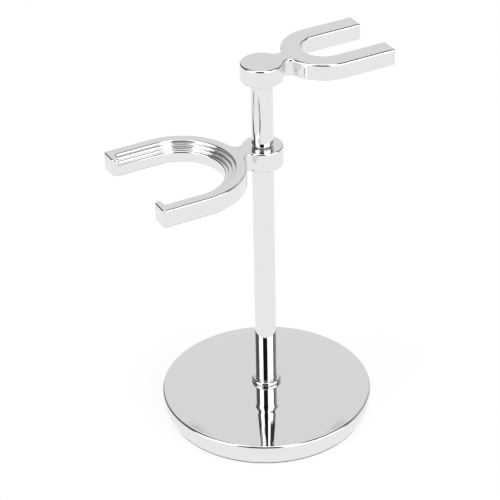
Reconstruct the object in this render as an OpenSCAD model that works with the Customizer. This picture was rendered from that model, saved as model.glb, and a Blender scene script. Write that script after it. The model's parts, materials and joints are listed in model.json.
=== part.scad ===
// Razor and brush stand: a weighted round base, a two-part post and two forks.
// The brush holder is clamped between the two post tubes and the razor holder
// caps the upper one. Both forks turn about the post by hand, held by friction.
// Millimetres, +Z up. The origin is the centre of the rubber disc's underside.
// The razor fork points along +X and the brush fork along -X.

/* [Base] */
// Largest diameter of the chromed base
base_d = 75; // [70:0.5:84]
// Height of the flat middle of the base above the table
base_h = 10.8; // [10:0.1:12]
// Diameter of the flat middle, outside which the top falls to the rim
crown_flat_d = 37; // [26:1:44]
// How far the top falls from the flat middle to the rim
crown_drop = 2.2; // [1:0.1:3]
// Radius that rounds the rim of the base
rim_r = 0.8; // [0.6:0.1:1.2]
// How much smaller the foot of the base is than its waist, on the radius
side_tuck = 2; // [0.4:0.1:2.4]
// Wall of the pressed base shell
shell_wall = 1.2; // [1:0.1:1.4]
// Thickness of the rubber disc that the stand rests on
disc_t = 1.5; // [1.2:0.1:1.6]
// How far the rubber disc stands out below the shell
disc_proud = 0.5; // [0.3:0.1:0.6]

/* [Post] */
// Outside diameter of both post tubes
post_d = 7.5; // [7.2:0.1:8.5]
// Wall of the post tubes
post_wall = 1; // [0.9:0.05:1.1]
// Outside diameter of the ring at the foot of the post
ring_d = 10.4; // [9.8:0.1:12]
// Height of the ring at the foot of the post
ring_h = 1.6; // [0.8:0.1:2]
// Length of the threaded plug soldered in each tube end
plug_l = 9; // [8:0.5:11]

/* [Brush holder] */
// Height of the brush holder's top face above the table
brush_top_z = 107.5; // [100:0.5:110]
// Diameter of the collar round the post
brush_collar_d = 14.2; // [13:0.1:16]
// Height of the collar
brush_collar_h = 7.2; // [6.8:0.1:8]
// Thickness of the fork
brush_fork_t = 6.5; // [6:0.1:6.8]
// Half the overall width of the fork
brush_outer_r = 22.6; // [22:0.1:24]
// Half the width of the gap that the brush neck passes through
brush_gap_r = 15.2; // [13:0.1:15.4]
// Distance from the post axis to the centre of the fork's round end
brush_arc_x = 31.6; // [31.4:0.1:34]
// Distance from the post axis to the tips of the fork
brush_tip_x = 48.5; // [47:0.5:52]
// Number of steps between the top face and the lowest ledge
step_count = 3; // [2:1:3]
// Tread of each step
step_tread = 1.2; // [1:0.05:1.2]
// Rise of each step
step_rise = 0.8; // [0.6:0.05:0.9]
// Length of the full-height lip left at each tip
tip_lip = 2.5; // [2:0.1:4]

/* [Razor holder] */
// Height of the razor holder's top face, the top of the stand
razor_top_z = 138.5; // [132:0.5:150]
// Diameter of the boss on top of the post
razor_boss_d = 14.5; // [13:0.1:16]
// Height of the boss
razor_boss_h = 6.5; // [6.2:0.1:7.5]
// Thickness of the fork
razor_fork_t = 6; // [5.5:0.1:6.2]
// Half the overall width of the fork
razor_outer_r = 14.6; // [14:0.1:16]
// Half the width of the gap that the razor handle hangs in
razor_gap_r = 7.6; // [6.5:0.1:8]
// Distance from the post axis to the centre of the fork's round end
razor_arc_x = 23.7; // [23.5:0.1:26]
// Distance from the post axis to the tips of the fork
razor_tip_x = 42.9; // [40:0.1:46]

/* [Hidden] */
$fn = 96;

// Finishes
chrome = [0.86, 0.86, 0.87];
iron = [0.32, 0.32, 0.33];
zinc = [0.66, 0.67, 0.68];
brass = [0.78, 0.64, 0.36];
rubber_black = [0.08, 0.08, 0.08];
nylon = [0.92, 0.91, 0.87];

// A cut runs this far past the face that it opens
past = 1;
// Clearance of a plain hole round the 4 mm screw or stud in it, on the radius
thread_clear = 0.05;
// Gap left for solder round a plug in its tube, on the radius
solder_gap = 0.03;

// Metric 4 mm fasteners; their threads are drawn as plain shanks
screw_r = 2;
screw_hole_r = screw_r + thread_clear;
screw_head_r = 3.5;
screw_head_h = 2.8;
socket_across_flats = 2.5;
socket_depth = 1.6;
shank_l = 14;
washer_r = 4.5;
washer_t = 0.8;
spring_washer_r = 3.5;
spring_washer_t = 0.9;
spring_washer_gap = 0.6;

// Base, worked out from the outside in
base_r = base_d / 2;
foot_r = base_r - side_tuck;
rim_z = base_h - crown_drop;
waist_z = rim_z - rim_r - 1;
crown_flat_r = crown_flat_d / 2;
// How the crown steepens outwards: 1 would be a cone, 2 a parabola
crown_power = 1.7;
weight_r = foot_r - shell_wall - 0.5;
disc_lip_r = foot_r - 0.2;
weight_shoulder_z = rim_z - shell_wall - 1;
shell_top_z = base_h - shell_wall;
pocket_r = washer_r + 1;
washer_top_z = 6.2;
spring_washer_top_z = washer_top_z - washer_t;
screw_seat_z = spring_washer_top_z - spring_washer_t;

// Post, from the base up
post_r = post_d / 2;
tube_bore_r = post_r - post_wall;
plug_r = tube_bore_r - solder_gap;
tube_end_r = 0.8;
slip_t = 0.25;
slip_r = post_r - tube_end_r - 0.05;
lower_post_top_z = brush_top_z - brush_collar_h - slip_t;
upper_post_foot_z = brush_top_z + slip_t;
upper_post_top_z = razor_top_z - razor_boss_h - slip_t;
stud_in_plug = plug_l - 1;

// Forks
tip_corner_r = 1;
waist_fillet_r = 2.3;
// The hollow fillet is cut this much deeper than tangent, so that its arc crosses the round ones cleanly
fillet_bite = 0.03;
tip_break = 0.4;
blind_hole_depth = 4.4;
stud_in_boss = 4;

// Points of an arc about [x, z], from angle a to angle b, in the order drawn
function arc(x, z, r, a, b, count) =
    [for (i = [0:count]) [x + r * cos(a + (b - a) * i / count), z + r * sin(a + (b - a) * i / count)]];

// Height of the outside of the base top at radius r
function crown_z(r) =
    r <= crown_flat_r ? base_h
    : base_h - crown_drop * pow((r - crown_flat_r) / (base_r - rim_r - crown_flat_r), crown_power);

// Radius of the outside of the base at height z, drawn in towards the foot
function side_r(z) = base_r - side_tuck * pow((waist_z - min(z, waist_z)) / (waist_z - disc_proud), 2);

// Outside of the base from the foot, up the side, round the rim and in along the crown.
// Drawn inset by the wall thickness, it is also the inside of the shell.
function base_outline(inset) = concat(
    [for (i = [0:6]) let (z = disc_proud + (waist_z - disc_proud) * i / 6) [side_r(z) - inset, z]],
    arc(base_r - rim_r - inset, rim_z - rim_r - inset, rim_r, 0, 80, 5),
    [for (i = [9:-1:0])
        let (r = crown_flat_r + (base_r - rim_r - 0.4 - inset - crown_flat_r) * i / 10) [r, crown_z(r) - inset]]
);

// A tube standing on z = 0 with both ends rounded on the outside
module tube(r, bore_r, length, end_r) {
    rotate_extrude()
        polygon(concat(
            [[bore_r, 0]],
            arc(r - end_r, end_r, end_r, -90, 0, 5),
            arc(r - end_r, length - end_r, end_r, 0, 90, 5),
            [[bore_r, length]]));
}

// A flat ring standing on z = 0
module flat_ring(r, hole_r, t) {
    difference() {
        cylinder(r = r, h = t);
        translate([0, 0, -past]) cylinder(r = hole_r, h = t + 2 * past);
    }
}

// A bar from x = from_x to its square tip at x = tip_x, with both tip corners rounded
module tip_bar(half_w, from_x, tip_x, corner_r) {
    translate([from_x, -half_w]) square([tip_x - corner_r - from_x, 2 * half_w]);
    translate([from_x, corner_r - half_w]) square([tip_x - from_x, 2 * (half_w - corner_r)]);
    for (side = [-1, 1]) {
        translate([tip_x - corner_r, side * (half_w - corner_r)]) circle(r = corner_r);
    }
}

// A bar whose inner end is a half circle about x = arc_x and whose other end is a square tip
module u_bar(half_w, arc_x, tip_x, corner_r) {
    difference() {
        translate([arc_x, 0]) circle(r = half_w);
        translate([arc_x, -half_w - past]) square([half_w + past, 2 * (half_w + past)]);
    }
    tip_bar(half_w, arc_x, tip_x, corner_r);
}

// One side of the waist between the collar and the fork: a hollow fillet that meets both circles
module waist_side(collar_r, outer_r, arc_x) {
    reach_collar = collar_r + waist_fillet_r;
    reach_fork = outer_r + waist_fillet_r;
    x = (arc_x * arc_x + reach_collar * reach_collar - reach_fork * reach_fork) / (2 * arc_x);
    y = sqrt(reach_collar * reach_collar - x * x);
    touch_collar = [x, y] * collar_r / reach_collar;
    touch_fork = [arc_x, 0] + [x - arc_x, y] * outer_r / reach_fork;
    difference() {
        polygon([[0, 0], touch_collar, [x, y], touch_fork, [arc_x, 0]]);
        translate([x, y]) circle(r = waist_fillet_r + fillet_bite);
    }
}

// Plan of a whole holder: the fork with the waist that joins it to its collar
module holder_plan(collar_r, outer_r, gap_r, arc_x, tip_x) {
    difference() {
        union() {
            circle(r = collar_r);
            u_bar(outer_r, arc_x, tip_x, tip_corner_r);
            waist_side(collar_r, outer_r, arc_x);
            mirror([0, 1]) waist_side(collar_r, outer_r, arc_x);
        }
        u_bar(gap_r, arc_x, tip_x + 3 * past, past);
        // Break the inner corner of each tip
        for (side = [-1, 1]) {
            translate([tip_x, side * gap_r]) rotate(45) square(2 * tip_break, center = true);
        }
    }
}

module base_shell() {
    color(chrome)
        difference() {
            rotate_extrude()
                polygon(concat([[0, disc_proud]], base_outline(0), [[0, base_h]]));
            rotate_extrude()
                polygon(concat(
                    [[0, disc_proud - past], [foot_r - shell_wall, disc_proud - past]],
                    base_outline(shell_wall),
                    [[0, shell_top_z]]));
            cylinder(r = screw_hole_r, h = base_h + past);
        }
}

// Cast-iron disc that fills the shell and keeps the stand from tipping
module base_weight() {
    color(iron)
        difference() {
            union() {
                translate([0, 0, disc_t]) cylinder(r = weight_r, h = weight_shoulder_z - disc_t);
                translate([0, 0, weight_shoulder_z])
                    cylinder(r1 = weight_r, r2 = crown_flat_r, h = shell_top_z - weight_shoulder_z);
            }
            cylinder(r = screw_hole_r, h = base_h);
            cylinder(r = pocket_r, h = washer_top_z);
        }
}

// Rubber disc whose thin lip covers the foot of the shell
module foot_disc() {
    color(rubber_black) {
        cylinder(r = weight_r, h = disc_t);
        cylinder(r = disc_lip_r, h = disc_proud);
    }
}

// Low-head socket screw that pulls the post down on the base from below
module base_screw() {
    color(zinc)
        difference() {
            union() {
                translate([0, 0, screw_seat_z - screw_head_h]) cylinder(r = screw_head_r, h = screw_head_h);
                translate([0, 0, screw_seat_z]) cylinder(r = screw_r, h = shank_l);
            }
            translate([0, 0, screw_seat_z - screw_head_h - past])
                cylinder(d = socket_across_flats / cos(30), h = socket_depth + past, $fn = 6);
        }
}

// Split spring washer under the screw head
module base_spring_washer() {
    color(zinc)
        translate([0, 0, screw_seat_z])
            difference() {
                flat_ring(spring_washer_r, screw_hole_r, spring_washer_t);
                translate([0, -spring_washer_gap / 2, -past])
                    cube([spring_washer_r + past, spring_washer_gap, spring_washer_t + 2 * past]);
            }
}

module base_washer() {
    color(zinc)
        translate([0, 0, spring_washer_top_z]) flat_ring(washer_r, screw_hole_r, washer_t);
}

// Rounded ring that hides the seam between the post and the base
module foot_ring() {
    round_r = ring_h / 2;
    bore_r = post_r + thread_clear;
    color(chrome)
        translate([0, 0, base_h])
            rotate_extrude()
                polygon(concat(
                    [[bore_r, 0]],
                    arc(ring_d / 2 - round_r, round_r, round_r, -90, 90, 10),
                    [[bore_r, ring_h]]));
}

module lower_post() {
    color(chrome)
        translate([0, 0, base_h]) tube(post_r, tube_bore_r, lower_post_top_z - base_h, tube_end_r);
}

module upper_post() {
    color(chrome)
        translate([0, 0, upper_post_foot_z])
            tube(post_r, tube_bore_r, upper_post_top_z - upper_post_foot_z, tube_end_r);
}

// Threaded brass plug soldered in a tube end
module plug(foot_z) {
    color(brass)
        translate([0, 0, foot_z]) flat_ring(plug_r, screw_hole_r, plug_l);
}

module lower_post_foot_plug() {
    plug(base_h);
}

module lower_post_head_plug() {
    plug(lower_post_top_z - plug_l);
}

module upper_post_foot_plug() {
    plug(upper_post_foot_z);
}

module upper_post_head_plug() {
    plug(upper_post_top_z - plug_l);
}

// Thin nylon washer that lets a holder turn without scratching the plating
module slip_washer(foot_z) {
    color(nylon)
        translate([0, 0, foot_z]) flat_ring(slip_r, screw_hole_r, slip_t);
}

module lower_slip_washer() {
    slip_washer(lower_post_top_z);
}

module upper_slip_washer() {
    slip_washer(brush_top_z);
}

module razor_slip_washer() {
    slip_washer(upper_post_top_z);
}

// Steel stud with the edges of both ends broken
module stud(foot_z, top_z) {
    edge = 0.4;
    color(zinc)
        translate([0, 0, foot_z])
            rotate_extrude()
                polygon([[0, 0], [screw_r - edge, 0], [screw_r, edge], [screw_r, top_z - foot_z - edge],
                         [screw_r - edge, top_z - foot_z], [0, top_z - foot_z]]);
}

// Passes through the collar and screws in both tubes; the brush holder turns on it
module joining_stud() {
    stud(lower_post_top_z - stud_in_plug, upper_post_foot_z + stud_in_plug);
}

// Screwed tight in the boss; it turns in the upper tube's top plug
module razor_stud() {
    stud(upper_post_top_z - stud_in_plug, razor_top_z - razor_boss_h + stud_in_boss);
}

// Die-cast fork on a collar, with steps cut round the inside to seat brushes of several sizes
module brush_holder() {
    collar_r = brush_collar_d / 2;
    color(chrome)
        rotate(180)
            difference() {
                union() {
                    translate([0, 0, brush_top_z - brush_fork_t])
                        linear_extrude(brush_fork_t)
                            holder_plan(collar_r, brush_outer_r, brush_gap_r, brush_arc_x, brush_tip_x);
                    translate([0, 0, brush_top_z - brush_collar_h]) cylinder(r = collar_r, h = brush_collar_h);
                }
                for (i = [1:step_count]) {
                    translate([0, 0, brush_top_z - (step_count + 1 - i) * step_rise])
                        linear_extrude(step_rise + past)
                            u_bar(brush_gap_r + i * step_tread, brush_arc_x, brush_tip_x - tip_lip, tip_corner_r);
                }
                translate([0, 0, brush_top_z - brush_collar_h - past])
                    cylinder(r = screw_hole_r, h = brush_collar_h + 2 * past);
            }
}

// Die-cast fork on a boss, blind-tapped from below
module razor_holder() {
    boss_r = razor_boss_d / 2;
    boss_foot_z = razor_top_z - razor_boss_h;
    color(chrome)
        difference() {
            union() {
                translate([0, 0, razor_top_z - razor_fork_t])
                    linear_extrude(razor_fork_t)
                        holder_plan(boss_r, razor_outer_r, razor_gap_r, razor_arc_x, razor_tip_x);
                translate([0, 0, boss_foot_z]) cylinder(r = boss_r, h = razor_boss_h);
            }
            translate([0, 0, boss_foot_z - past]) cylinder(r = screw_hole_r, h = blind_hole_depth + past);
        }
}

base_shell();
base_weight();
foot_disc();
base_screw();
base_spring_washer();
base_washer();
foot_ring();
lower_post();
lower_post_foot_plug();
lower_post_head_plug();
lower_slip_washer();
brush_holder();
upper_slip_washer();
joining_stud();
upper_post();
upper_post_foot_plug();
upper_post_head_plug();
razor_slip_washer();
razor_holder();
razor_stud();
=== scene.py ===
"""Chromed stand for a wet-shaving razor and brush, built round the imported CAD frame.

The stand has a weighted round base, a post of two tubes, a stepped fork for the brush
and a plain fork for the razor. The pieces that show are remade here with rounded edges,
because bright chrome shows every one of them. The hidden pieces keep the frame's shape
and get finishes of their own. Lengths are metres, and MM turns millimetres to metres.
"""

import json
import logging
import math
from collections.abc import Callable
from dataclasses import dataclass, field
from enum import Enum

import bmesh
import bpy
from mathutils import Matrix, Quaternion, Vector

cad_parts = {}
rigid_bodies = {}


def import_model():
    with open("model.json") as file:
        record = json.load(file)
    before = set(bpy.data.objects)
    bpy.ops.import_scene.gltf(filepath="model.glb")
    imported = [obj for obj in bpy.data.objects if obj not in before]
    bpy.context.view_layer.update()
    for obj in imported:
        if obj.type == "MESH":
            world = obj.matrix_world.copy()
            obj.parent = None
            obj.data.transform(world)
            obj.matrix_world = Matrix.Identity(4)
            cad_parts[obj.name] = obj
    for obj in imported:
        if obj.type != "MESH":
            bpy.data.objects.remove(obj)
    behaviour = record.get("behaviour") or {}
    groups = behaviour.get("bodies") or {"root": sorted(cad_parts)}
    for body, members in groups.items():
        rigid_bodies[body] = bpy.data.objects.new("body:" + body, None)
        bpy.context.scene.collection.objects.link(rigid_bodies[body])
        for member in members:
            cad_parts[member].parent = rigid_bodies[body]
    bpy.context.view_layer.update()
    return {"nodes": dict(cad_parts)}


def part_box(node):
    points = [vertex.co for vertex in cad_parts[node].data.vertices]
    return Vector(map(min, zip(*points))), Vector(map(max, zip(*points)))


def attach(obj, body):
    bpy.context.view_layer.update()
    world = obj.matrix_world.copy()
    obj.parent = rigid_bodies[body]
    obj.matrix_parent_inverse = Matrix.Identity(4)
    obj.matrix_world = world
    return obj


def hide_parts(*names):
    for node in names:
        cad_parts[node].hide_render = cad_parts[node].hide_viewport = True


LOG = logging.getLogger("razor_stand")

MM = 0.001
# Segments of a whole round: enough that a mirror finish shows no flats
ROUND_SEGMENTS = 192
# Segments of a round that a dull finish covers
DULL_ROUND_SEGMENTS = 96
# Two vertices closer than this are one
WELD = 0.0005 * MM
# Two places closer than this count as the same when faces and edges are picked
NEAR = 0.01 * MM
# Faces that meet at more than this make a sharp edge
SHARP = math.radians(35)
# Faces that meet at less than this are one flat face
FLAT = math.radians(0.2)
# A bevel's profile that gives a round edge
ROUND_PROFILE = 0.5
# A face looks up or down when its normal rises or falls by more than this
LEVEL = 0.9
# How far large faces outweigh small ones in the shading, 50 for not at all
NORMAL_WEIGHT = 60
# Cutters run this far past the face they open
PAST = 1.0 * MM
# Nearly all of a noise texture's values lie in this range
NOISE_LOW = 0.3
NOISE_HIGH = 0.7
# Sockets of a Mix node that mixes two colours
MIX_FIRST = 6
MIX_SECOND = 7
MIX_RESULT = 2
# What the name of a remade chromed piece ends with
PLATED = "_plated"

# Points in order: x and y in a plan, radius and height for a turned piece
Outline = list[tuple[float, float]]
# Degrees round the tent from the camera, left negative, and the brightness there
Stops = list[tuple[float, float]]


class Body(Enum):
    """The CAD bodies that pieces ride on."""

    STAND = "stand"
    BRUSH_ARM = "brush_arm"
    RAZOR_ARM = "razor_arm"


class Slot(Enum):
    """The record's material slots of the pieces that are remade."""

    CHROME = "chrome_plate"
    RUBBER = "rubber"


# ---------------------------------------------------------------- colour and nodes


def srgb(hex_colour: str) -> tuple[float, float, float, float]:
    """Turns an sRGB hex colour into the linear colour that shaders take.

    Args:
        hex_colour: Six hex digits, such as "d9dadb".

    Returns:
        Linear red, green, blue and an alpha of 1.
    """
    channels = [int(hex_colour[i : i + 2], 16) / 255 for i in (0, 2, 4)]
    # The sRGB standard's own curve: a straight foot, then a power
    linear = [c / 12.92 if c <= 0.04045 else ((c + 0.055) / 1.055) ** 2.4 for c in channels]
    return (linear[0], linear[1], linear[2], 1.0)


def grey(level: float) -> tuple[float, float, float, float]:
    """A linear grey of one level."""
    return (level, level, level, 1.0)


def add_node(
    tree: bpy.types.NodeTree,
    kind: str,
    settings: dict[str, object] | None = None,
    inputs: dict[str | int, object] | None = None,
) -> bpy.types.Node:
    """Adds one node with its settings, values and links.

    Args:
        tree: The node tree to add to.
        kind: The node's type name.
        settings: Node properties by name.
        inputs: Input sockets by name or number; an output socket is linked, anything
            else is set as the value.

    Returns:
        The new node.
    """
    node = tree.nodes.new(kind)
    for name, value in (settings or {}).items():
        setattr(node, name, value)
    for socket, value in (inputs or {}).items():
        if isinstance(value, bpy.types.NodeSocket):
            tree.links.new(value, node.inputs[socket])
        else:
            node.inputs[socket].default_value = value
    return node


def new_material(
    name: str,
) -> tuple[bpy.types.Material, bpy.types.ShaderNodeTree, bpy.types.Node]:
    """Makes an empty node material.

    Args:
        name: The material's name.

    Returns:
        The material, its tree and its Principled shader, already linked to the output.
    """
    material = bpy.data.materials.new(name)
    material.use_nodes = True
    tree = material.node_tree
    tree.nodes.clear()
    shader = add_node(tree, "ShaderNodeBsdfPrincipled")
    add_node(tree, "ShaderNodeOutputMaterial", inputs={"Surface": shader.outputs["BSDF"]})
    return material, tree, shader


# ---------------------------------------------------------------- finishes


@dataclass(frozen=True)
class ChromePlate:
    """Bright chrome plate over polished nickel: a neutral mirror, very slightly wavy.

    The buffing before plating leaves a faint swell in the surface that bends long
    reflections, and handling leaves soft hazy patches that only show near a highlight.
    """

    name: str
    swell_mm: float
    swell_depth_mm: float
    colour: str = "e5e6e7"
    polish_roughness: float = 0.018
    haze_roughness: float = 0.05
    haze_patch_mm: float = 9.0
    # Noise level at which the haze starts, and at which it is full
    haze_from: float = 0.55
    haze_to: float = 0.85

    def build(self) -> bpy.types.Material:
        """Builds the material.

        Returns:
            The finished material.
        """
        material, tree, shader = new_material(self.name)
        place = add_node(tree, "ShaderNodeTexCoord").outputs["Object"]
        haze = add_node(
            tree,
            "ShaderNodeTexNoise",
            inputs={
                "Vector": place,
                "Scale": 1 / (self.haze_patch_mm * MM),
                "Detail": 4.0,
                "Roughness": 0.62,
            },
        )
        roughness = add_node(
            tree,
            "ShaderNodeMapRange",
            inputs={
                "Value": haze.outputs["Fac"],
                "From Min": self.haze_from,
                "From Max": self.haze_to,
                "To Min": self.polish_roughness,
                "To Max": self.haze_roughness,
            },
        )
        swell = add_node(
            tree,
            "ShaderNodeTexNoise",
            inputs={
                "Vector": place,
                "Scale": 1 / (self.swell_mm * MM),
                "Detail": 1.0,
                "Roughness": 0.4,
            },
        )
        bump = add_node(
            tree,
            "ShaderNodeBump",
            inputs={
                "Height": swell.outputs["Fac"],
                "Strength": 1.0,
                "Distance": self.swell_depth_mm * MM,
            },
        )
        shader.inputs["Base Color"].default_value = srgb(self.colour)
        shader.inputs["Metallic"].default_value = 1.0
        tree.links.new(roughness.outputs["Result"], shader.inputs["Roughness"])
        tree.links.new(bump.outputs["Normal"], shader.inputs["Normal"])
        return material


@dataclass(frozen=True)
class GrainedFinish:
    """A finish whose colour, roughness and relief all follow one fine grain.

    Used for cast iron (sand texture), zinc plate (faint spangle), turned brass,
    moulded rubber and nylon, each with its own grain size in millimetres.
    """

    name: str
    dark: str
    light: str
    grain_mm: float
    relief_mm: float
    smooth_roughness: float
    rough_roughness: float
    metallic: float = 0.0
    # Above 1, the grain is squeezed along Z into lines round the axis
    squeeze_z: float = 1.0

    def build(self) -> bpy.types.Material:
        """Builds the material.

        Returns:
            The finished material.
        """
        material, tree, shader = new_material(self.name)
        place = add_node(tree, "ShaderNodeTexCoord").outputs["Object"]
        squeezed = add_node(
            tree,
            "ShaderNodeMapping",
            inputs={"Vector": place, "Scale": (1.0, 1.0, self.squeeze_z)},
        )
        grain = add_node(
            tree,
            "ShaderNodeTexNoise",
            inputs={
                "Vector": squeezed.outputs["Vector"],
                "Scale": 1 / (self.grain_mm * MM),
                "Detail": 6.0,
                "Roughness": 0.6,
            },
        )
        colour = add_node(
            tree,
            "ShaderNodeMix",
            settings={"data_type": "RGBA"},
            inputs={
                "Factor": grain.outputs["Fac"],
                MIX_FIRST: srgb(self.dark),
                MIX_SECOND: srgb(self.light),
            },
        )
        roughness = add_node(
            tree,
            "ShaderNodeMapRange",
            inputs={
                "Value": grain.outputs["Fac"],
                "From Min": NOISE_LOW,
                "From Max": NOISE_HIGH,
                "To Min": self.smooth_roughness,
                "To Max": self.rough_roughness,
            },
        )
        bump = add_node(
            tree,
            "ShaderNodeBump",
            inputs={
                "Height": grain.outputs["Fac"],
                "Strength": 1.0,
                "Distance": self.relief_mm * MM,
            },
        )
        shader.inputs["Metallic"].default_value = self.metallic
        tree.links.new(colour.outputs[MIX_RESULT], shader.inputs["Base Color"])
        tree.links.new(roughness.outputs["Result"], shader.inputs["Roughness"])
        tree.links.new(bump.outputs["Normal"], shader.inputs["Normal"])
        return material


@dataclass
class FinishRack:
    """Every finish of the stand, built once and shared."""

    chrome_base: bpy.types.Material = field(init=False)
    chrome_tube: bpy.types.Material = field(init=False)
    chrome_cast: bpy.types.Material = field(init=False)
    iron: bpy.types.Material = field(init=False)
    rubber: bpy.types.Material = field(init=False)
    steel: bpy.types.Material = field(init=False)
    brass: bpy.types.Material = field(init=False)
    nylon: bpy.types.Material = field(init=False)

    def __post_init__(self) -> None:
        """Builds the materials."""
        # Pressed brass sheet: flat, with long shallow swells from the press
        self.chrome_base = ChromePlate(
            "bright_chrome_on_pressed_brass", swell_mm=14.0, swell_depth_mm=0.0015
        ).build()
        # Drawn tube: straight and the most even of the three
        self.chrome_tube = ChromePlate(
            "bright_chrome_on_drawn_tube", swell_mm=18.0, swell_depth_mm=0.0006
        ).build()
        # Die-cast zinc buffed by hand: edges and flats roll a little
        self.chrome_cast = ChromePlate(
            "bright_chrome_on_die_cast_zinc", swell_mm=6.0, swell_depth_mm=0.003
        ).build()
        # Sand-cast grey iron: dull, dark and gritty
        self.iron = GrainedFinish(
            "sand_cast_iron",
            dark="2b2a2a",
            light="4c4a48",
            grain_mm=0.6,
            relief_mm=0.05,
            smooth_roughness=0.62,
            rough_roughness=0.85,
            metallic=0.7,
        ).build()
        # Moulded nitrile rubber: near black, matt, a fine mould texture
        self.rubber = GrainedFinish(
            "moulded_rubber",
            dark="141414",
            light="232323",
            grain_mm=0.35,
            relief_mm=0.02,
            smooth_roughness=0.7,
            rough_roughness=0.88,
        ).build()
        # Bright zinc plate on steel: cool grey with a soft spangle
        self.steel = GrainedFinish(
            "zinc_plated_steel",
            dark="a5a9ae",
            light="c9ccd0",
            grain_mm=0.9,
            relief_mm=0.004,
            smooth_roughness=0.22,
            rough_roughness=0.36,
            metallic=1.0,
        ).build()
        # Turned brass: warm, with tool marks round the axis
        self.brass = GrainedFinish(
            "turned_brass",
            dark="b08d46",
            light="d3b266",
            grain_mm=1.2,
            relief_mm=0.006,
            smooth_roughness=0.2,
            rough_roughness=0.34,
            metallic=1.0,
            squeeze_z=14.0,
        ).build()
        # Natural nylon sheet: milky, slightly waxy
        self.nylon = GrainedFinish(
            "natural_nylon",
            dark="dcd8cb",
            light="ece9df",
            grain_mm=0.5,
            relief_mm=0.003,
            smooth_roughness=0.38,
            rough_roughness=0.5,
        ).build()


# ---------------------------------------------------------------- the bench


def only(obj: bpy.types.Object) -> None:
    """Selects one object and makes it active, with nothing else selected.

    Args:
        obj: The object.
    """
    bpy.ops.object.select_all(action="DESELECT")
    obj.select_set(True)
    bpy.context.view_layer.objects.active = obj


def enter(obj: bpy.types.Object, mode: str) -> None:
    """Opens one object in edit mode with nothing selected.

    Args:
        obj: The object to edit.
        mode: EDGE or FACE selection.
    """
    only(obj)
    bpy.ops.object.mode_set(mode="EDIT")
    bpy.ops.mesh.select_mode(type=mode)
    bpy.ops.mesh.select_all(action="DESELECT")


def leave() -> None:
    """Goes back to object mode."""
    bpy.ops.object.mode_set(mode="OBJECT")


def enter_with(obj: bpy.types.Object, mode: str, wanted: Callable[..., bool]) -> int:
    """Opens one object in edit mode with the wanted faces or edges selected.

    Args:
        obj: The object to edit.
        mode: EDGE or FACE selection.
        wanted: Says whether one edge or face is selected.

    Returns:
        How many are selected.
    """
    enter(obj, mode)
    mesh = bmesh.from_edit_mesh(obj.data)
    count = 0
    for part in mesh.faces if mode == "FACE" else mesh.edges:
        take = wanted(part)
        part.select_set(take)
        count += take
    bmesh.update_edit_mesh(obj.data)
    return count


def is_crease(edge: bmesh.types.BMEdge) -> bool:
    """Says whether two faces meet sharply at the edge."""
    return len(edge.link_faces) == 2 and edge.calc_face_angle(0.0) > SHARP


def is_ridge(edge: bmesh.types.BMEdge) -> bool:
    """Says whether the edge is a sharp one that points outwards."""
    return is_crease(edge) and edge.is_convex


def cut(target: bpy.types.Object, tool: bpy.types.Object) -> None:
    """Cuts the target with a tool and removes the tool.

    Args:
        target: The piece that is kept.
        tool: The piece that is used up.
    """
    only(target)
    modifier = target.modifiers.new("cut", "BOOLEAN")
    modifier.operation = "DIFFERENCE"
    modifier.solver = "EXACT"
    modifier.object = tool
    bpy.ops.object.modifier_apply(modifier=modifier.name)
    bpy.data.objects.remove(tool)


def clean(obj: bpy.types.Object) -> None:
    """Welds doubles, merges coplanar faces and turns every face outwards.

    Args:
        obj: The piece.
    """
    enter(obj, "FACE")
    bpy.ops.mesh.select_all(action="SELECT")
    bpy.ops.mesh.remove_doubles(threshold=WELD)
    bpy.ops.mesh.dissolve_limited(angle_limit=FLAT)
    bpy.ops.mesh.normals_make_consistent(inside=False)
    leave()


def round_edges(
    obj: bpy.types.Object,
    radius: float,
    segments: int,
    wanted: Callable[[bmesh.types.BMEdge], bool],
) -> None:
    """Rounds the edges that wanted picks.

    Args:
        obj: The piece.
        radius: Radius of the rounding.
        segments: Steps across it.
        wanted: Says whether an edge is rounded.
    """
    if enter_with(obj, "EDGE", wanted):
        bpy.ops.mesh.bevel(
            offset=radius,
            segments=segments,
            profile=ROUND_PROFILE,
            affect="EDGES",
            clamp_overlap=False,
        )
    bpy.ops.mesh.select_all(action="SELECT")
    bpy.ops.mesh.remove_doubles(threshold=WELD)
    leave()


def smooth(obj: bpy.types.Object) -> None:
    """Shades a piece smooth, with its large faces setting the normals so that flats stay flat.

    Args:
        obj: The piece.
    """
    only(obj)
    bpy.ops.object.shade_smooth_by_angle(angle=SHARP)
    modifier = obj.modifiers.new("normals", "WEIGHTED_NORMAL")
    modifier.mode = "FACE_AREA"
    modifier.weight = NORMAL_WEIGHT
    modifier.keep_sharp = True
    bpy.ops.object.modifier_apply(modifier=modifier.name)


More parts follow.
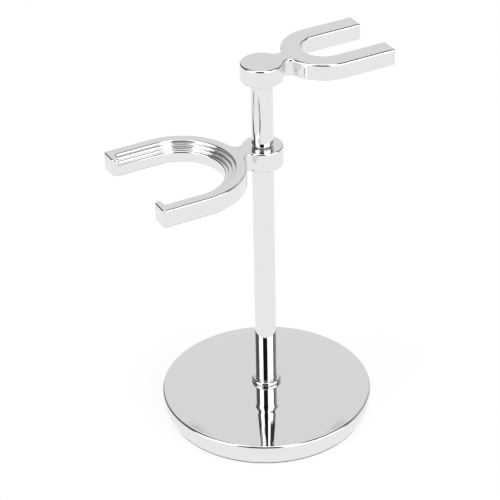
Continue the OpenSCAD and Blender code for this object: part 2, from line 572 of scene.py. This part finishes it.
def draw_faces(
    name: str, outlines: list[Outline], z: float, toward: float
) -> bpy.types.Object:
    """Draws flat faces point by point and welds the sides that they share.

    Args:
        name: Name of the piece.
        outlines: The closed outline of each face, without a repeated end point.
        z: Height of the faces.
        toward: 1 draws them along +X, -1 turns them half round to -X.

    Returns:
        The new object.
    """
    bpy.ops.object.select_all(action="DESELECT")
    bpy.ops.mesh.primitive_plane_add(size=MM)
    obj = bpy.context.active_object
    obj.name = name
    bpy.ops.object.mode_set(mode="EDIT")
    bpy.ops.mesh.select_mode(type="VERT")
    bpy.ops.mesh.select_all(action="SELECT")
    bpy.ops.mesh.delete(type="VERT")
    for outline in outlines:
        x, y = outline[0]
        bpy.ops.mesh.select_all(action="DESELECT")
        bpy.ops.mesh.primitive_plane_add(size=MM, location=(toward * x, toward * y, z))
        bpy.ops.mesh.merge(type="CENTER")
        for next_x, next_y in outline[1:] + outline[:1]:
            step = (toward * (next_x - x), toward * (next_y - y), 0)
            bpy.ops.mesh.extrude_vertices_move(TRANSFORM_OT_translate={"value": step})
            x, y = next_x, next_y
        bpy.ops.mesh.select_linked()
        bpy.ops.mesh.remove_doubles(threshold=WELD)
        bpy.ops.mesh.edge_face_add()
    bpy.ops.mesh.select_all(action="SELECT")
    bpy.ops.mesh.remove_doubles(threshold=WELD)
    leave()
    return obj


def extrude_faces(
    obj: bpy.types.Object,
    rise: float,
    wanted: Callable[[bmesh.types.BMFace], bool],
) -> None:
    """Extrudes the faces that wanted picks straight up or down.

    Args:
        obj: The piece.
        rise: How far up, negative for down.
        wanted: Says whether a face is extruded.
    """
    enter_with(obj, "FACE", wanted)
    bpy.ops.mesh.extrude_region_move(TRANSFORM_OT_translate={"value": (0, 0, rise)})
    bpy.ops.mesh.select_all(action="SELECT")
    bpy.ops.mesh.normals_make_consistent(inside=False)
    leave()


def axis_cylinder(radius: float, low_z: float, high_z: float) -> bpy.types.Object:
    """Adds a cylinder on the post axis between two heights.

    Args:
        radius: Its radius.
        low_z: Height of its foot.
        high_z: Height of its top.

    Returns:
        The new object.
    """
    bpy.ops.object.select_all(action="DESELECT")
    bpy.ops.mesh.primitive_cylinder_add(
        vertices=ROUND_SEGMENTS,
        radius=radius,
        depth=high_z - low_z,
        location=(0, 0, (low_z + high_z) / 2),
    )
    obj = bpy.context.active_object
    bpy.ops.object.transform_apply(location=True, rotation=True, scale=True)
    return obj


def turned(
    name: str, outline: Outline, closed: bool = False, segments: int = ROUND_SEGMENTS
) -> bpy.types.Object:
    """Turns an outline about the post axis, as on a lathe.

    A circle is added at the first point, then extruded and scaled to each next one.

    Args:
        name: Name of the piece.
        outline: Radius and height of each ring, in order.
        closed: True joins the last ring to the first, for a tube; False caps both ends.
        segments: Segments of each ring.

    Returns:
        The new object.
    """
    radius, height = outline[0]
    bpy.ops.object.select_all(action="DESELECT")
    bpy.ops.mesh.primitive_circle_add(
        vertices=segments,
        radius=radius,
        fill_type="NOTHING" if closed else "NGON",
        location=(0, 0, height),
    )
    obj = bpy.context.active_object
    obj.name = name
    bpy.ops.object.transform_apply(location=True, rotation=True, scale=True)
    bpy.ops.object.mode_set(mode="EDIT")
    bpy.ops.mesh.select_all(action="SELECT")
    points = outline[1:] + ([outline[0]] if closed else [])
    for next_radius, next_height in points:
        rise = (0, 0, next_height - height)
        bpy.ops.mesh.extrude_region_move(TRANSFORM_OT_translate={"value": rise})
        grow = next_radius / radius
        if not math.isclose(grow, 1):
            bpy.ops.transform.resize(value=(grow, grow, 1), center_override=(0, 0, next_height))
        radius, height = next_radius, next_height
    bpy.ops.mesh.select_all(action="SELECT")
    bpy.ops.mesh.remove_doubles(threshold=WELD)
    bpy.ops.mesh.normals_make_consistent(inside=False)
    leave()
    return obj


def arc(
    centre: tuple[float, float], radius: float, start: float, end: float, count: int
) -> Outline:
    """Points of an arc in an outline.

    Args:
        centre: The arc's centre, in the outline's own two measures.
        radius: The arc's own radius.
        start: First angle in degrees, 0 outwards and 90 up.
        end: Last angle in degrees.
        count: Number of steps.

    Returns:
        The points, both ends included.
    """
    angles = [math.radians(start + (end - start) * i / count) for i in range(count + 1)]
    return [(centre[0] + radius * math.cos(a), centre[1] + radius * math.sin(a)) for a in angles]


def mirrored(side: Outline) -> Outline:
    """The other side of an outline that is the same on both, in drawing order."""
    return [(x, -y) for x, y in reversed(side)]


def dress(
    obj: bpy.types.Object,
    material: bpy.types.Material,
    body: Body,
    replaces: str,
) -> None:
    """Gives a finished piece its finish and mounts it on its body.

    Args:
        obj: The piece, already named.
        material: Its finish.
        body: The body that it moves with.
        replaces: The CAD node that it stands for.
    """
    obj.data.name = obj.name
    obj.data.materials.clear()
    obj.data.materials.append(material)
    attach(obj, body.value)
    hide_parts(replaces)
    LOG.info("%s: %d faces, rides on %s", obj.name, len(obj.data.polygons), body.value)


def finish_node(node: bpy.types.Object, material: bpy.types.Material) -> None:
    """Gives a CAD node that stays as it is a finish of its own.

    Args:
        node: The node's object.
        material: Its finish.
    """
    if not node.material_slots:
        node.data.materials.append(material)
    for place in node.material_slots:
        place.link = "OBJECT"
        place.material = material
    LOG.info("%s: kept from the frame, finished in %s", node.name, material.name)


# ---------------------------------------------------------------- base


@dataclass
class Base:
    """The chromed shell, its iron weight, the rubber disc and the screw from below."""

    finishes: FinishRack
    nodes: dict[str, bpy.types.Object]
    crown_flat_r: float = 18.5 * MM
    crown_drop: float = 2.2 * MM
    crown_power: float = 1.7
    # The press leaves a low soft bead where the flat middle ends
    bead_h: float = 0.15 * MM
    bead_half_w: float = 2.8 * MM
    rim_r: float = 0.8 * MM
    # The side drops straight for this far under the rim, then tucks in
    side_straight: float = 1.0 * MM
    side_tuck: float = 2.0 * MM
    wall: float = 1.2 * MM
    hem_r: float = 0.15 * MM
    screw_hole_r: float = 2.05 * MM
    # Rings across each stretch of the shell
    side_steps: int = 14
    rim_steps: int = 12
    crown_steps: int = 48
    middle_steps: int = 4
    # The rubber disc fits in the shell with this gap, and its lip covers the wall's foot
    disc_gap: float = 0.3 * MM
    disc_edge_r: float = 0.05 * MM
    disc_edge_steps: int = 3
    # Its grooves start this far in from its edge and stop short of the screw
    groove_start: float = 2.0 * MM
    groove_stop_r: float = 6.0 * MM
    groove_pitch: float = 3.0 * MM
    groove_w: float = 1.2 * MM
    groove_slope_w: float = 0.3 * MM
    groove_depth: float = 0.35 * MM
    # Last ring before the flat that closes its underside
    disc_middle_r: float = 2.0 * MM

    def crown_z(self, r: float, edge_r: float) -> float:
        """Height of the top at a radius, measured from the flat middle.

        Args:
            r: Radius on the top.
            edge_r: Radius at which the rim's rounding is highest.

        Returns:
            The height, negative where the crown has fallen below the middle.
        """
        share = max(r - self.crown_flat_r, 0) / (edge_r - self.crown_flat_r)
        from_bead = min(abs(r - self.crown_flat_r) / self.bead_half_w, 1)
        bead = self.bead_h * (1 + math.cos(math.pi * from_bead)) / 2
        return bead - self.crown_drop * share**self.crown_power

    def outside(self, low_z: float, high_z: float, base_r: float) -> Outline:
        """Outline of the shell's outside, from the foot to the middle of the top.

        Args:
            low_z: Height of the foot.
            high_z: Height of the flat middle.
            base_r: Largest radius.

        Returns:
            The outline, foot first.
        """
        rim_z = high_z - self.crown_drop
        tuck_z = rim_z - self.rim_r - self.side_straight
        crown_edge = base_r - self.rim_r
        side = []
        for i in range(self.side_steps + 1):
            z = low_z + (tuck_z - low_z) * i / self.side_steps
            side.append((base_r - self.side_tuck * ((tuck_z - z) / (tuck_z - low_z)) ** 2, z))
        # The rim's rounding ends where it has the crown's slope
        slope = self.crown_drop * self.crown_power / (crown_edge - self.crown_flat_r)
        rim_end = 90 - math.degrees(math.atan(slope))
        rim = arc((crown_edge, rim_z - self.rim_r), self.rim_r, 0, rim_end, self.rim_steps)
        bead_in = self.crown_flat_r - self.bead_half_w
        crown = []
        for i in range(self.crown_steps - 1, -1, -1):
            r = bead_in + (rim[-1][0] - bead_in) * i / self.crown_steps
            crown.append((r, high_z + self.crown_z(r, crown_edge)))
        steps = self.middle_steps
        middle = [(bead_in * i / steps, high_z) for i in range(steps - 1, 0, -1)]
        return side + rim + crown + middle

    def build_shell(self) -> None:
        """Turns the shell: outside, hole for the screw, inside, and a soft hem at the foot."""
        low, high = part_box("base_shell")
        base_r = high.x
        outside = self.outside(low.z, high.z, base_r)
        foot_r, _ = outside[0]
        inside = [
            (self.screw_hole_r, high.z),
            (self.screw_hole_r, high.z - self.wall),
            (self.crown_flat_r, high.z - self.wall),
            (base_r - self.wall - self.rim_r, high.z - self.crown_drop - self.wall),
            (base_r - self.wall, high.z - self.crown_drop - self.rim_r - self.wall),
            (foot_r - self.wall, low.z + self.hem_r),
            (foot_r - self.wall + self.hem_r, low.z),
            (foot_r - self.hem_r, low.z),
        ]
        shell = turned("base_shell" + PLATED, outside + inside, closed=True)
        smooth(shell)
        dress(shell, self.finishes.chrome_base, Body.STAND, "base_shell")

    def build_foot_disc(self) -> None:
        """Turns the rubber disc with rounded edges and grooves that leave ribs to grip."""
        low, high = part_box("foot_disc")
        lip_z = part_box("base_shell")[0].z
        disc_r = high.x
        body_r = disc_r - self.wall - self.disc_gap
        edge_r = self.disc_edge_r
        steps = self.disc_edge_steps
        outline: Outline = [(body_r, high.z), (body_r, lip_z), (disc_r - edge_r, lip_z)]
        outline += arc((disc_r - edge_r, lip_z - edge_r), edge_r, 90, 0, steps)[1:]
        outline += arc((disc_r - edge_r, low.z + edge_r), edge_r, 0, -90, steps)
        r = disc_r - self.groove_start
        while r > self.groove_stop_r:
            outline += [
                (r, low.z),
                (r - self.groove_slope_w, low.z + self.groove_depth),
                (r - self.groove_w + self.groove_slope_w, low.z + self.groove_depth),
                (r - self.groove_w, low.z),
            ]
            r -= self.groove_pitch
        outline.append((self.disc_middle_r, low.z))
        disc = turned("foot_disc_ribbed", outline, segments=DULL_ROUND_SEGMENTS)
        smooth(disc)
        dress(disc, self.finishes.rubber, Body.STAND, "foot_disc")

    def build(self) -> None:
        """Builds the base and finishes its hidden CAD nodes."""
        self.build_shell()
        self.build_foot_disc()
        finish_node(self.nodes["base_weight"], self.finishes.iron)
        for node in ("base_screw", "base_spring_washer", "base_washer"):
            finish_node(self.nodes[node], self.finishes.steel)


# ---------------------------------------------------------------- post


@dataclass
class Post:
    """The two tubes, the ring at the foot, the plugs, studs and slip washers."""

    finishes: FinishRack
    nodes: dict[str, bpy.types.Object]
    tube_wall: float = 1.0 * MM
    end_r: float = 0.8 * MM
    end_steps: int = 5
    shaft_steps: int = 6
    ring_clearance: float = 0.05 * MM
    ring_steps: int = 12
    ring_hem_r: float = 0.2 * MM
    ring_hem_steps: int = 3

    def build_tube(self, node: str) -> None:
        """Turns one chromed tube with softly rounded ends.

        Args:
            node: The CAD node that it stands for.
        """
        low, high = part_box(node)
        r = high.x
        bore_r = r - self.tube_wall
        end_r = self.end_r
        shaft = high.z - low.z - 2 * end_r
        outline = [(bore_r, low.z), (r - end_r, low.z)]
        outline += arc((r - end_r, low.z + end_r), end_r, -90, 0, self.end_steps)[1:]
        for i in range(1, self.shaft_steps):
            outline.append((r, low.z + end_r + shaft * i / self.shaft_steps))
        outline += arc((r - end_r, high.z - end_r), end_r, 0, 90, self.end_steps)
        outline.append((bore_r, high.z))
        tube = turned(node + PLATED, outline, closed=True)
        smooth(tube)
        dress(tube, self.finishes.chrome_tube, Body.STAND, node)

    def build_foot_ring(self) -> None:
        """Turns the rounded ring at the foot of the post."""
        low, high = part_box("foot_ring")
        r = high.x
        half = (high.z - low.z) / 2
        hem_r = self.ring_hem_r
        bore_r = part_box("lower_post")[1].x + self.ring_clearance
        outline = [(bore_r, low.z), (r - half, low.z)]
        outline += arc((r - half, low.z + half), half, -90, 90, self.ring_steps)[1:]
        outline += arc((bore_r + hem_r, high.z - hem_r), hem_r, 90, 180, self.ring_hem_steps)
        ring = turned("foot_ring" + PLATED, outline, closed=True)
        smooth(ring)
        dress(ring, self.finishes.chrome_tube, Body.STAND, "foot_ring")

    def build(self) -> None:
        """Builds everything on the post axis above the base."""
        for tube in ("lower_post", "upper_post"):
            self.build_tube(tube)
            for end in ("foot", "head"):
                finish_node(self.nodes[f"{tube}_{end}_plug"], self.finishes.brass)
        self.build_foot_ring()
        for stud in ("joining_stud", "razor_stud"):
            finish_node(self.nodes[stud], self.finishes.steel)
        for place in ("lower", "upper", "razor"):
            finish_node(self.nodes[f"{place}_slip_washer"], self.finishes.nylon)


# ---------------------------------------------------------------- holders


@dataclass
class Holder:
    """A cast fork on its collar, drawn in plan with its tips towards +X.

    The collar's round face and the fork's face are drawn apart, sharing the arc between
    them, so that the collar can be extruded lower than the fork. A toward of -1 turns
    the whole plan half round, so that the tips point to -X.
    """

    finishes: FinishRack
    node: str
    body: Body
    toward: float
    collar_r: float
    fork_t: float
    outer_r: float
    gap_r: float
    arc_x: float
    tip_x: float
    edge_r: float
    edge_steps: int = 6
    tip_corner_r: float = 1.0 * MM
    tip_inner_r: float = 1.0 * MM
    waist_fillet_r: float = 2.3 * MM
    hole_r: float = 2.05 * MM
    # Steps along each arc of the plan
    waist_steps: int = 18
    bow_steps: int = 32
    tip_steps: int = 8
    turn_steps: int = 64
    hidden_collar_steps: int = 24
    open_collar_steps: int = 72

    def waist_centre(self) -> tuple[float, float]:
        """Finds the hollow fillet that touches both the collar and the fork.

        Returns:
            The x and y of its centre.
        """
        reach_collar = self.collar_r + self.waist_fillet_r
        reach_fork = self.outer_r + self.waist_fillet_r
        x = (self.arc_x**2 + reach_collar**2 - reach_fork**2) / (2 * self.arc_x)
        return x, math.sqrt(reach_collar**2 - x**2)

    def collar_angle(self) -> float:
        """Angle at which the waist leaves the collar, in degrees."""
        x, y = self.waist_centre()
        return math.degrees(math.atan2(y, x))

    def outer_side(self) -> Outline:
        """Draws one side: along the waist and the fork, and round the tip to the gap's wall.

        Returns:
            The outline of that side.
        """
        x, y = self.waist_centre()
        corner = self.tip_corner_r
        inner = self.tip_inner_r
        steps = self.tip_steps
        collar_angle = self.collar_angle() - 180
        fork_angle = math.degrees(math.atan2(-y, self.arc_x - x))
        side = arc((x, y), self.waist_fillet_r, collar_angle, fork_angle, self.waist_steps)
        side += arc((self.arc_x, 0), self.outer_r, fork_angle + 180, 90, self.bow_steps)[1:]
        side += arc((self.tip_x - corner, self.outer_r - corner), corner, 90, 0, steps)
        side += arc((self.tip_x - inner, self.gap_r + inner), inner, 0, -90, steps)
        return side

    def inner_side(self) -> Outline:
        """One side of the plan's inner line, from the tip to where the gap turns round."""
        return []

    def inner_r(self) -> float:
        """Radius at which the inner line turns round."""
        return self.gap_r

    def fork_outline(self) -> Outline:
        """Outline of the fork's top, from the collar round one arm and back along the other."""
        side = self.outer_side() + self.inner_side()
        return side + self.turn(self.inner_r()) + mirrored(side) + self.collar_arc()[1:-1]

    def turn(self, radius: float) -> Outline:
        """The half round at the root of the gap, or of a line that follows the gap."""
        return arc((self.arc_x, 0), radius, 90, 270, self.turn_steps)

    def collar_arc(self) -> Outline:
        """The part of the collar's round that the waist hides."""
        angle = self.collar_angle()
        return arc((0, 0), self.collar_r, -angle, angle, self.hidden_collar_steps)

    def collar_outline(self) -> Outline:
        """Draws the whole round of the collar.

        Returns:
            The outline, with the arc that the waist hides first.
        """
        angle = self.collar_angle()
        open_arc = arc((0, 0), self.collar_r, angle, 360 - angle, self.open_collar_steps)
        return self.collar_arc() + open_arc[1:-1]

    def build_blank(self) -> bpy.types.Object:
        """Draws the plan and extrudes it to the fork's thickness and the collar's height.

        Returns:
            The holder with sharp edges and no hole.
        """
        low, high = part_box(self.node)
        outlines = [self.collar_outline(), self.fork_outline()]
        blank = draw_faces(self.node + PLATED, outlines, high.z, self.toward)
        extrude_faces(blank, -self.fork_t, lambda face: True)
        self.lower_collar(blank, high.z - self.fork_t - low.z)
        return blank

    def lower_collar(self, blank: bpy.types.Object, depth: float) -> None:
        """Extrudes the collar below the fork.

        Args:
            blank: The piece.
            depth: How far below the fork the collar reaches.
        """
        extrude_faces(blank, -depth, lambda face: face.normal.z < -LEVEL and self.is_collar(face))

    def is_collar(self, face: bmesh.types.BMFace) -> bool:
        """Says whether a face is the collar's round one."""
        return all(vertex.co.xy.length < self.collar_r + NEAR for vertex in face.verts)

    def round_off(self, blank: bpy.types.Object) -> None:
        """Rounds the sharp edges."""
        round_edges(blank, self.edge_r, self.edge_steps, is_ridge)

    def hole_top(self) -> float:
        """Height to which the stud's hole is drilled: past the top, so right through."""
        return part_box(self.node)[1].z + PAST

    def drill(self, blank: bpy.types.Object) -> None:
        """Drills the stud's hole up from the underside."""
        low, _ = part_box(self.node)
        cut(blank, axis_cylinder(self.hole_r, low.z - PAST, self.hole_top()))

    def build(self) -> None:
        """Builds the holder."""
        blank = self.build_blank()
        clean(blank)
        self.round_off(blank)
        self.drill(blank)
        smooth(blank)
        dress(blank, self.finishes.chrome_cast, self.body, self.node)


@dataclass
class RazorHolder(Holder):
    """The plain fork on a closed boss that caps the post."""

    blind_depth: float = 4.4 * MM

    def hole_top(self) -> float:
        """Height at which the blind hole in the boss ends."""
        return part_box(self.node)[0].z + self.blind_depth


@dataclass
class BrushHolder(Holder):
    """The wide fork on a collar, with steps round its inside that stop short of the tips."""

    step_count: int = 3
    step_tread: float = 1.2 * MM
    step_rise: float = 0.8 * MM
    step_edge_r: float = 0.4 * MM
    step_edge_steps: int = 4
    step_root_r: float = 0.15 * MM
    step_root_steps: int = 3
    step_corner_r: float = 1.0 * MM
    step_corner_steps: int = 6
    tip_lip: float = 2.5 * MM
    lip_corner_r: float = 0.7 * MM
    lip_corner_steps: int = 5

    def steps_end_x(self) -> float:
        """How far out the steps reach, up to the lip."""
        return self.tip_x - self.tip_lip

    def step_r(self, number: int) -> float:
        """Radius of the line round a step, counted from the gap outwards."""
        return self.gap_r + number * self.step_tread

    def inner_r(self) -> float:
        """Radius of the outermost step's line."""
        return self.step_r(self.step_count)

    def lip_corner(self) -> Outline:
        """Draws the rounded corner of the lip.

        Returns:
            The arc, from the gap's wall to the end of the steps.
        """
        corner = self.lip_corner_r
        centre = (self.steps_end_x() + corner, self.gap_r + corner)
        return arc(centre, corner, -90, -180, self.lip_corner_steps)

    def step_corner(self) -> Outline:
        """Draws the rounded end of the outermost step's line.

        Returns:
            The arc, from the end of the steps to the line.
        """
        corner = self.step_corner_r
        centre = (self.steps_end_x() - corner, self.inner_r() - corner)
        return arc(centre, corner, 0, 90, self.step_corner_steps)

    def inner_side(self) -> Outline:
        """Draws one side of the top's inner line: round the lip and past the end of each step.

        Returns:
            The outline, from the lip to the outermost step's line.
        """
        end_x = self.steps_end_x()
        ends = [(end_x, self.step_r(number)) for number in range(1, self.step_count)]
        return self.lip_corner() + ends + self.step_corner()

    def step_outline(self, number: int) -> Outline:
        """Outline of one step's tread.

        Args:
            number: 1 for the tread beside the gap, and so on outwards.

        Returns:
            The outline, from its inner line to its outer line.
        """
        inner_r = self.step_r(number - 1)
        outer_r = self.step_r(number)
        inner_end = [(self.steps_end_x(), inner_r)]
        outer_end = [(self.steps_end_x(), outer_r)]
        if number == 1:
            inner_end = self.lip_corner()[::-1]
        if number == self.step_count:
            outer_end = self.step_corner()
        inner = inner_end + self.turn(inner_r) + mirrored(inner_end)
        outer = outer_end + self.turn(outer_r) + mirrored(outer_end)
        return inner + outer[::-1]

    def reach(self, vertex: bmesh.types.BMVert) -> float:
        """How far a vertex is from the middle line of the gap."""
        return math.hypot(min(self.toward * vertex.co.x - self.arc_x, 0), vertex.co.y)

    def is_above_step(self, face: bmesh.types.BMFace, number: int) -> bool:
        """Says whether a face looks up and lies further out than a step's line."""
        furthest = max(map(self.reach, face.verts))
        return face.normal.z > LEVEL and furthest > self.step_r(number) + NEAR

    def build_blank(self) -> bpy.types.Object:
        """Draws the plan with its treads, then raises all but the lowest tread step by step.

        Returns:
            The holder with sharp edges and no hole.
        """
        low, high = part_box(self.node)
        steps = [self.step_outline(number) for number in range(1, self.step_count + 1)]
        floor_z = high.z - self.step_count * self.step_rise
        outlines = [self.collar_outline(), self.fork_outline(), *steps]
        blank = draw_faces(self.node + PLATED, outlines, floor_z, self.toward)
        fork_low = high.z - self.fork_t
        extrude_faces(blank, fork_low - floor_z, lambda face: True)
        self.lower_collar(blank, fork_low - low.z)
        for number in range(1, self.step_count + 1):
            extrude_faces(blank, self.step_rise, lambda face: self.is_above_step(face, number))
        return blank

    def round_off(self, blank: bpy.types.Object) -> None:
        """Rounds the outside and top edges fully, then the edges and the roots of the steps.

        Args:
            blank: The piece.
        """
        _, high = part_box(self.node)
        top_step_z = high.z - self.step_rise + NEAR
        floor_z = high.z - self.step_count * self.step_rise - NEAR

        def in_steps(edge: bmesh.types.BMEdge, from_r: float) -> bool:
            """Says whether a sharp edge lies below the top and beyond a line round the gap."""
            within = all(floor_z < vertex.co.z < top_step_z for vertex in edge.verts)
            return is_crease(edge) and within and min(map(self.reach, edge.verts)) > from_r

        def is_outside(edge: bmesh.types.BMEdge) -> bool:
            """Says whether a sharp outward edge is not one of the steps' own."""
            return is_ridge(edge) and not in_steps(edge, self.gap_r + NEAR)

        def is_step_edge(edge: bmesh.types.BMEdge) -> bool:
            """Says whether an edge is the edge of a step."""
            return in_steps(edge, self.gap_r + NEAR) and edge.is_convex

        def is_step_root(edge: bmesh.types.BMEdge) -> bool:
            """Says whether an edge is the root of a step, clear of the lip's rounded corner."""
            return in_steps(edge, self.gap_r + self.lip_corner_r + NEAR) and not edge.is_convex

        round_edges(blank, self.edge_r, self.edge_steps, is_outside)
        round_edges(blank, self.step_edge_r, self.step_edge_steps, is_step_edge)
        round_edges(blank, self.step_root_r, self.step_root_steps, is_step_root)


# ---------------------------------------------------------------- studio


@dataclass
class Studio:
    """A white floor, a pale tent with two softboxes and a dark gap where the camera stands."""

    camera_place: Vector = field(default_factory=lambda: Vector((-285.28, -527.82, 440.72)) * MM)
    camera_aim: Vector = field(default_factory=lambda: Vector((-4.36, 2.36, 65.8)) * MM)
    camera_roll: float = math.radians(1.172)
    lens_mm: float = 146.98
    sensor_mm: float = 36.0
    clip_near: float = 0.01
    clip_far: float = 100.0
    floor_size: float = 12.0
    floor_colour: str = "8a8a8a"
    floor_roughness: float = 0.9
    floor_specular: float = 0.1
    # Keeps the floor and the rubber's ribs from sharing one plane
    floor_gap: float = 0.01 * MM
    floor_glow: float = 0.8
    # The tent's walls: a softbox at 1.9 on each side, with dark gaps between and beyond
    wall_stops: Stops = field(
        default_factory=lambda: [
            (-180, 0.84),
            (-156, 0.84),
            (-146, 0.14),
            (-80, 0.12),
            (-76, 1.9),
            (-34, 1.9),
            (-31, 0.012),
            (15, 0.012),
            (18, 1.9),
            (84, 1.9),
            (87, 0.1),
            (102, 0.12),
            (110, 0.35),
            (144, 0.40),
            (156, 0.84),
            (180, 0.84),
        ]
    )
    # The same above the softboxes' upper edges, where the tent is dark up to its roof
    upper_stops: Stops = field(
        default_factory=lambda: [
            (-180, 0.84),
            (-162, 0.84),
            (-154, 0.06),
            (-80, 0.06),
            (-76, 1.9),
            (-34, 1.9),
            (-31, 0.012),
            (15, 0.012),
            (18, 1.9),
            (46, 1.9),
            (52, 0.05),
            (154, 0.05),
            (162, 0.84),
            (180, 0.84),
        ]
    )
    # Elevations in degrees between which the walls turn to their upper part
    upper_from: float = 46.0
    upper_to: float = 51.0
    # Elevations in degrees between which the bright roof and the pale sweep take over
    roof_from: float = 71.0
    roof_to: float = 77.0
    roof_level: float = 1.9
    sweep_from: float = 1.0
    sweep_to: float = 5.0
    sweep_level: float = 0.95

    def build_camera(self) -> None:
        """Places the camera."""
        data = bpy.data.cameras.new("camera")
        data.lens = self.lens_mm
        data.sensor_width = self.sensor_mm
        data.clip_start = self.clip_near
        data.clip_end = self.clip_far
        camera = bpy.data.objects.new("camera", data)
        bpy.context.scene.collection.objects.link(camera)
        forward = self.camera_aim - self.camera_place
        camera.rotation_mode = "QUATERNION"
        camera.location = self.camera_place
        roll = Quaternion((0, 0, 1), -self.camera_roll)
        camera.rotation_quaternion = forward.to_track_quat("-Z", "Y") @ roll
        bpy.context.scene.camera = camera

    def build_floor(self) -> None:
        """Lays the floor."""
        bpy.ops.object.select_all(action="DESELECT")
        bpy.ops.mesh.primitive_plane_add(size=self.floor_size, location=(0, 0, -self.floor_gap))
        floor = bpy.context.active_object
        floor.name = "studio_floor"
        material, _, shader = new_material("white_paper_sweep")
        shader.inputs["Base Color"].default_value = srgb(self.floor_colour)
        shader.inputs["Roughness"].default_value = self.floor_roughness
        shader.inputs["Specular IOR Level"].default_value = self.floor_specular
        shader.inputs["Emission Color"].default_value = grey(1.0)
        shader.inputs["Emission Strength"].default_value = self.floor_glow
        floor.data.materials.append(material)

    def build_tent(self) -> None:
        """Paints the light tent round the stand on the world."""
        world = bpy.data.worlds.new("light_tent")
        bpy.context.scene.world = world
        world.use_nodes = True
        tree = world.node_tree
        tree.nodes.clear()
        azimuth = math.atan2(self.camera_place.x, -self.camera_place.y)
        direction = add_node(tree, "ShaderNodeTexCoord").outputs["Generated"]
        turned_to_camera = add_node(
            tree,
            "ShaderNodeMapping",
            inputs={"Vector": direction, "Rotation": (0.0, 0.0, -azimuth)},
        )
        axes = add_node(
            tree,
            "ShaderNodeSeparateXYZ",
            inputs={0: turned_to_camera.outputs["Vector"]},
        )
        towards = add_node(
            tree,
            "ShaderNodeMath",
            settings={"operation": "MULTIPLY"},
            inputs={0: axes.outputs["Y"], 1: -1.0},
        )
        angle = add_node(
            tree,
            "ShaderNodeMath",
            settings={"operation": "ARCTAN2"},
            inputs={0: axes.outputs["X"], 1: towards.outputs[0]},
        )
        share = add_node(
            tree,
            "ShaderNodeMapRange",
            inputs={"Value": angle.outputs[0], "From Min": -math.pi, "From Max": math.pi},
        )
        rise = add_node(
            tree,
            "ShaderNodeMath",
            settings={"operation": "ARCSINE"},
            inputs={0: axes.outputs["Z"]},
        )
        height = rise.outputs[0]
        low_walls = self.add_walls(tree, share.outputs["Result"], self.wall_stops)
        high_walls = self.add_walls(tree, share.outputs["Result"], self.upper_stops)
        roof = grey(self.roof_level)
        sweep = grey(self.sweep_level)
        walls = self.add_rise(tree, height, self.upper_from, self.upper_to, low_walls, high_walls)
        roofed = self.add_rise(tree, height, self.roof_from, self.roof_to, walls, roof)
        swept = self.add_rise(tree, height, self.sweep_from, self.sweep_to, sweep, roofed)
        background = add_node(tree, "ShaderNodeBackground", inputs={"Color": swept, "Strength": 1.0})
        add_node(tree, "ShaderNodeOutputWorld", inputs={"Surface": background.outputs["Background"]})

    def add_walls(
        self, tree: bpy.types.NodeTree, share: bpy.types.NodeSocket, stops: Stops
    ) -> bpy.types.NodeSocket:
        """Adds the brightness round one level of the tent.

        Args:
            tree: The world's node tree.
            share: How far round the tent, from 0 to 1.
            stops: Degrees from the camera and the brightness there.

        Returns:
            The colour.
        """
        walls = add_node(tree, "ShaderNodeValToRGB", inputs={"Fac": share})
        ramp = walls.color_ramp
        ramp.interpolation = "LINEAR"
        while len(ramp.elements) < len(stops):
            ramp.elements.new(0.5)
        for element, (degrees, level) in zip(ramp.elements, stops):
            element.position = degrees / 360 + 0.5
            element.color = grey(level)
        return walls.outputs["Color"]

    def add_rise(
        self,
        tree: bpy.types.NodeTree,
        height: bpy.types.NodeSocket,
        start: float,
        end: float,
        below: object,
        above: object,
    ) -> bpy.types.NodeSocket:
        """Adds a soft change from one brightness to another with elevation.

        Args:
            tree: The world's node tree.
            height: Elevation in radians.
            start: Elevation in degrees where the change starts.
            end: Elevation in degrees where it is complete.
            below: Colour, or socket, under the change.
            above: Colour, or socket, over it.

        Returns:
            The colour.
        """
        rise = add_node(
            tree,
            "ShaderNodeMapRange",
            settings={"interpolation_type": "SMOOTHSTEP"},
            inputs={"Value": height, "From Min": math.radians(start), "From Max": math.radians(end)},
        )
        blend = add_node(
            tree,
            "ShaderNodeMix",
            settings={"data_type": "RGBA"},
            inputs={"Factor": rise.outputs["Result"], MIX_FIRST: below, MIX_SECOND: above},
        )
        return blend.outputs[MIX_RESULT]

    def build(self) -> None:
        """Builds the camera, floor and tent, and keeps colours as they are."""
        self.build_camera()
        self.build_floor()
        self.build_tent()
        scene = bpy.context.scene
        scene.view_settings.view_transform = "Standard"
        scene.view_settings.look = "None"


def main() -> None:
    """Builds the stand and its studio in order."""
    logging.basicConfig(level=logging.INFO, format="%(name)s: %(message)s")
    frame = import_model()
    LOG.info("frame: %d nodes", len(frame["nodes"]))
    Studio().build()
    finishes = FinishRack()
    Base(finishes, frame["nodes"]).build()
    Post(finishes, frame["nodes"]).build()
    RazorHolder(
        finishes,
        node="razor_holder",
        body=Body.RAZOR_ARM,
        toward=1.0,
        collar_r=7.25 * MM,
        fork_t=6.0 * MM,
        outer_r=14.6 * MM,
        gap_r=7.6 * MM,
        arc_x=23.7 * MM,
        tip_x=42.9 * MM,
        edge_r=0.75 * MM,
    ).build()
    BrushHolder(
        finishes,
        node="brush_holder",
        body=Body.BRUSH_ARM,
        toward=-1.0,
        collar_r=7.1 * MM,
        fork_t=6.5 * MM,
        outer_r=22.6 * MM,
        gap_r=15.2 * MM,
        arc_x=31.6 * MM,
        tip_x=48.5 * MM,
        tip_inner_r=1.7 * MM,
        edge_r=0.6 * MM,
    ).build()


if __name__ == "__main__":
    main()
